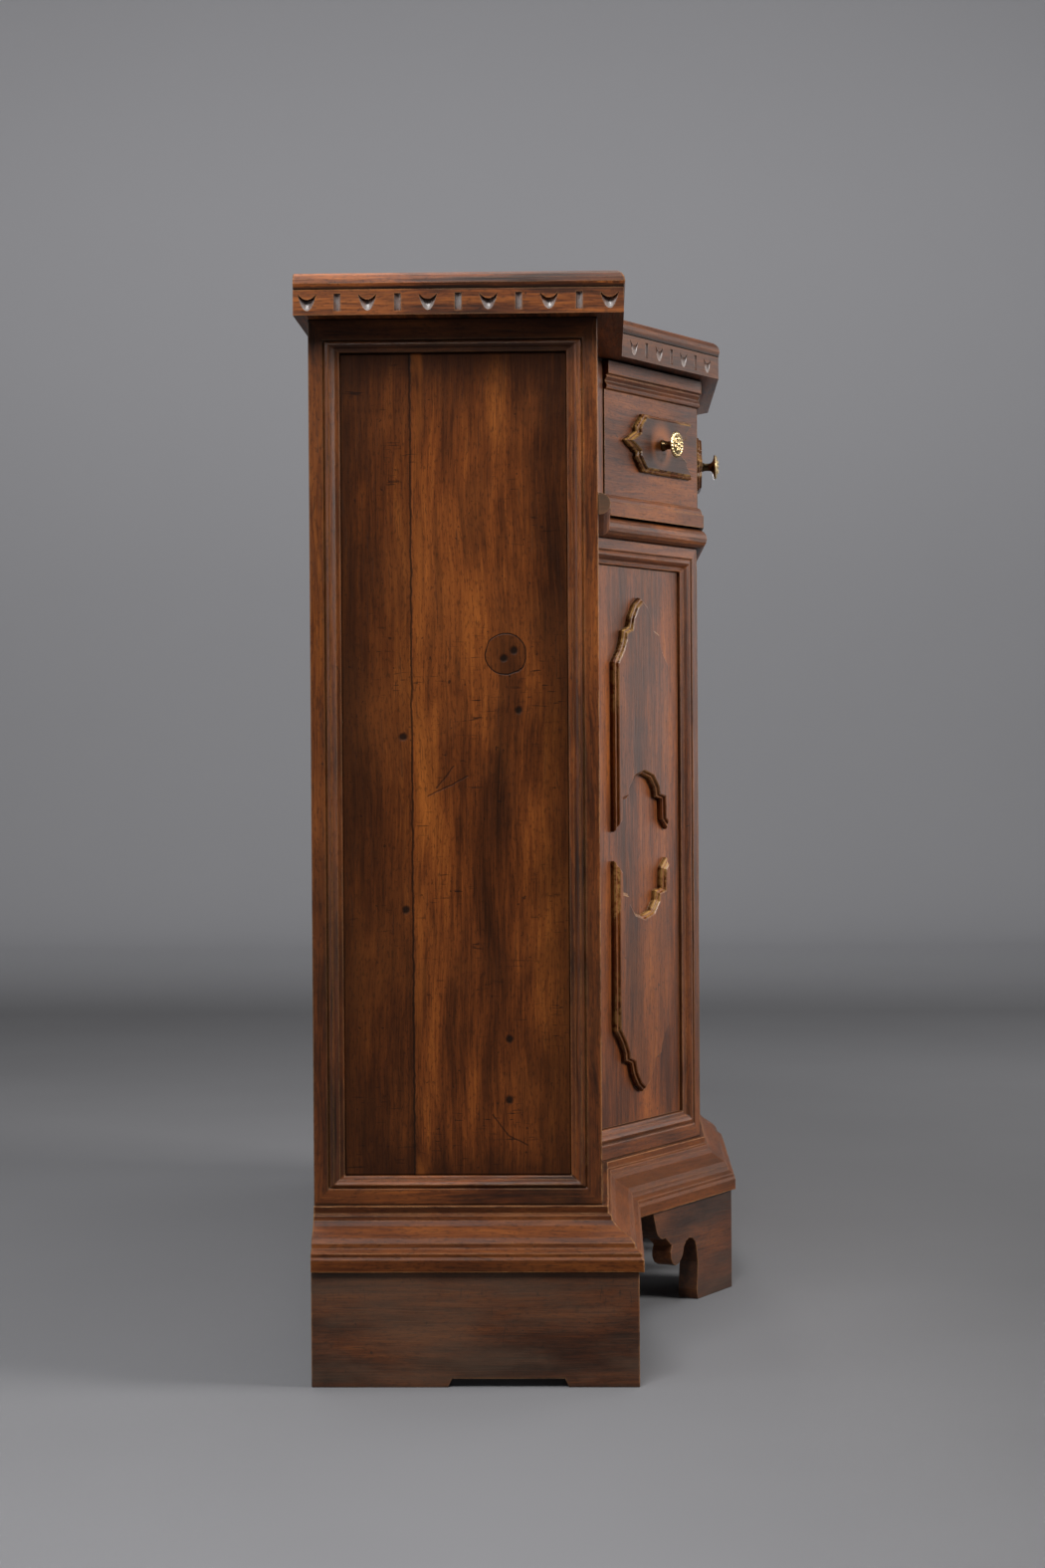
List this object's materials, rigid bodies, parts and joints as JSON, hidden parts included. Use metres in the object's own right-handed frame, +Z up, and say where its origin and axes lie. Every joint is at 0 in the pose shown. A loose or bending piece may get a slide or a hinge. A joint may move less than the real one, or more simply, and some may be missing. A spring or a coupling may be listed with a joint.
{
  "type": "buffet cabinet",
  "caption": "Walnut buffet with set-back wings and canted corners; three drawers slide above pin-hung panelled doors, on a moulded base with scrolled bracket feet.",
  "frame": {"origin": "middle of the footprint, on the floor", "axes": "+Z up, front towards -Y, +X to the right seen from the front"},
  "size_m": [1.428, 0.455, 1.1],
  "materials": {
    "walnut": "worn satin wax over dark stained walnut",
    "dark_walnut": "worn dull wax, darkened near the floor",
    "inner_wood": "plain oiled inside timber",
    "brass": "aged cast brass",
    "iron": "dull iron"
  },
  "bodies": {
    "carcass": {"top_board": "walnut", "cornice_board": "walnut", "base_moulding": "walnut", "drawer_deck": "walnut", "side_frame_left": "walnut", "side_frame_right": "walnut", "side_panel_left": "walnut", "side_panel_right": "walnut", "cant_frame_left": "walnut", "cant_frame_right": "walnut", "cant_panel_left": "walnut", "cant_panel_right": "walnut", "wing_divider_left": "walnut", "wing_divider_right": "walnut", "wing_frieze_left": "walnut", "wing_frieze_right": "walnut", "side_plinth_left": "dark_walnut", "side_plinth_right": "dark_walnut", "front_foot_left": "dark_walnut", "front_foot_right": "dark_walnut", "back_panel": "inner_wood", "bottom_board": "inner_wood", "shelf": "inner_wood", "cant_divider_left": "inner_wood", "cant_divider_right": "inner_wood", "centre_door_pin_top": "iron", "centre_door_pin_bottom": "iron", "wing_door_pin_top_left": "iron", "wing_door_pin_top_right": "iron", "wing_door_pin_bottom_left": "iron", "wing_door_pin_bottom_right": "iron"},
    "centre_drawer": {"centre_drawer_front": "walnut", "centre_drawer_box": "inner_wood", "centre_drawer_knob": "brass"},
    "centre_door": {"centre_door_frame": "walnut", "centre_door_panel": "walnut", "centre_door_escutcheon": "brass"},
    "cant_drawer_left": {"cant_drawer_front_left": "walnut", "cant_drawer_box_left": "inner_wood", "cant_drawer_knob_left": "brass"},
    "wing_door_left": {"wing_door_frame_left": "walnut", "wing_door_panel_left": "walnut", "wing_door_escutcheon_left": "brass"},
    "cant_drawer_right": {"cant_drawer_front_right": "walnut", "cant_drawer_box_right": "inner_wood", "cant_drawer_knob_right": "brass"},
    "wing_door_right": {"wing_door_frame_right": "walnut", "wing_door_panel_right": "walnut", "wing_door_escutcheon_right": "brass"}
  },
  "joints": [
    {"name": "cant_drawer_slide_left", "type": "slide", "parent": "carcass", "child": "cant_drawer_left", "axis": [-0.4806, -0.8769, 0], "range_m": [0, 0.12]},
    {"name": "wing_door_hinge_left", "type": "hinge", "parent": "carcass", "child": "wing_door_left", "pos_m": [-0.64, -0.0515, 0.5], "axis": [0, 0, -1], "range_deg": [0, 90]},
    {"name": "cant_drawer_slide_right", "type": "slide", "parent": "carcass", "child": "cant_drawer_right", "axis": [0.4806, -0.8769, 0], "range_m": [0, 0.12]},
    {"name": "wing_door_hinge_right", "type": "hinge", "parent": "carcass", "child": "wing_door_right", "pos_m": [0.64, -0.0515, 0.5], "axis": [0, 0, 1], "range_deg": [0, 90]},
    {"name": "centre_drawer_slide", "type": "slide", "parent": "carcass", "child": "centre_drawer", "axis": [0, -1, 0], "range_m": [0, 0.25]},
    {"name": "centre_door_hinge", "type": "hinge", "parent": "carcass", "child": "centre_door", "pos_m": [-0.152, -0.1815, 0.5], "axis": [0, 0, -1], "range_deg": [0, 95]}
  ]
}
